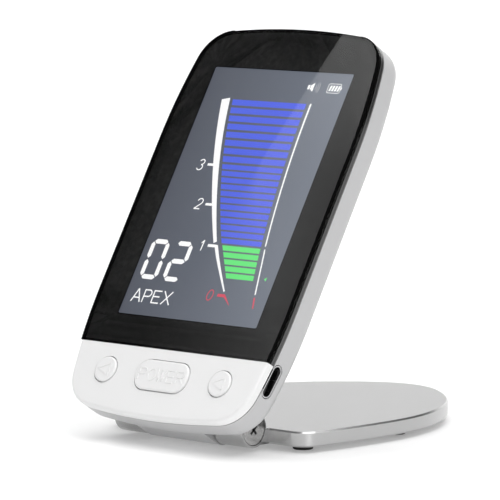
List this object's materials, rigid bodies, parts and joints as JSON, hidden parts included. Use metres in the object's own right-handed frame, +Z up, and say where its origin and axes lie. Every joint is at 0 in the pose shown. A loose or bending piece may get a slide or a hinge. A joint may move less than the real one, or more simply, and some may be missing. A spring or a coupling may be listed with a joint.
{
  "type": "apex locator",
  "caption": "Small dental measuring head with a colour display and a row of keys, hinged on a flat metal stand that folds against its back.",
  "frame": {"origin": "on the surface that the feet stand on, at the centre of the object's footprint at rest", "axes": "+X to the right along the hinge axis, +Y from the display towards the back of the stand, +Z up"},
  "size_m": [0.077, 0.1081, 0.1067],
  "materials": {
    "rear_case": "satin light grey moulded ABS",
    "black_frame": "gloss black moulded PC",
    "white_panel": "satin white moulded ABS",
    "white_key": "satin white moulded ABS",
    "cover_glass": "polished, black printed border",
    "adhesive": "black foam tape",
    "seal": "dark grey silicone",
    "display_metal": "stamped sheet",
    "display_cell": "polished, lit from behind",
    "light_guide": "clear acrylic, white film behind",
    "flex": "amber polyimide film",
    "circuit_board": "green solder mask",
    "chip": "black epoxy",
    "shield": "tinned sheet",
    "switch": "black nylon",
    "key_stem": "natural acetal",
    "socket": "ivory nylon",
    "port_metal": "nickel plated",
    "port_tongue": "black nylon",
    "battery": "silver laminate pouch",
    "foam": "closed-cell foam",
    "speaker": "black frame and film",
    "brass": "knurled",
    "screw": "black zinc",
    "hinge_pin": "turned and polished stainless steel",
    "washer": "ground",
    "bush": "acetal",
    "stand_metal": "fine bead-blasted, silver anodised",
    "foot_rubber": "matt black"
  },
  "bodies": {
    "stand": {"base_plate": "stand_metal", "foot_front_left": "foot_rubber", "foot_front_right": "foot_rubber", "foot_rear_left": "foot_rubber", "foot_rear_right": "foot_rubber", "hinge_bush_left": "bush", "hinge_bush_right": "bush"},
    "head": {"rear_shell": "rear_case", "front_frame": "black_frame", "key_panel": "white_panel", "cover_glass": "cover_glass", "glass_adhesive": "adhesive", "case_seal": "seal", "display_tray": "display_metal", "display_cell": "display_cell", "light_guide": "light_guide", "display_ribbon": "flex", "main_board": "circuit_board", "processor_chip": "chip", "shield_can": "shield", "display_socket": "socket", "measuring_chip": "chip", "charging_chip": "chip", "battery_socket": "socket", "charging_port_shell": "port_metal", "charging_port_tongue": "port_tongue", "lead_port_shell": "port_metal", "lead_port_tongue": "port_tongue", "battery_cell": "battery", "battery_pad": "foam", "loudspeaker": "speaker", "speaker_gasket": "foam", "case_inserts": "brass", "case_screws": "screw", "board_screws": "screw", "left_switch": "switch", "power_switch": "switch", "right_switch": "switch", "hinge_insert_left": "brass", "hinge_insert_right": "brass", "friction_washer_left": "washer", "friction_washer_right": "washer", "hinge_pin_left": "hinge_pin", "hinge_pin_right": "hinge_pin"},
    "left_key": {"left_key": "white_key", "left_key_stem": "key_stem"},
    "power_key": {"power_key": "white_key", "power_key_stem": "key_stem"},
    "right_key": {"right_key": "white_key", "right_key_stem": "key_stem"}
  },
  "joints": [
    {"name": "head_tilt", "type": "hinge", "parent": "stand", "child": "head", "pos_m": [0, -0.038, 0.00575], "axis": [1, 0, 0], "range_deg": [-58.8, 21.2]},
    {"name": "left_key_press", "type": "slide", "parent": "head", "child": "left_key", "axis": [0, 0.8554, -0.518], "range_m": [0, 0.0006], "stiffness_N_per_m": 2000, "springref_m": -0.0003},
    {"name": "power_key_press", "type": "slide", "parent": "head", "child": "power_key", "axis": [0, 0.8554, -0.518], "range_m": [0, 0.0006], "stiffness_N_per_m": 2000, "springref_m": -0.0003},
    {"name": "right_key_press", "type": "slide", "parent": "head", "child": "right_key", "axis": [0, 0.8554, -0.518], "range_m": [0, 0.0006], "stiffness_N_per_m": 2000, "springref_m": -0.0003}
  ]
}
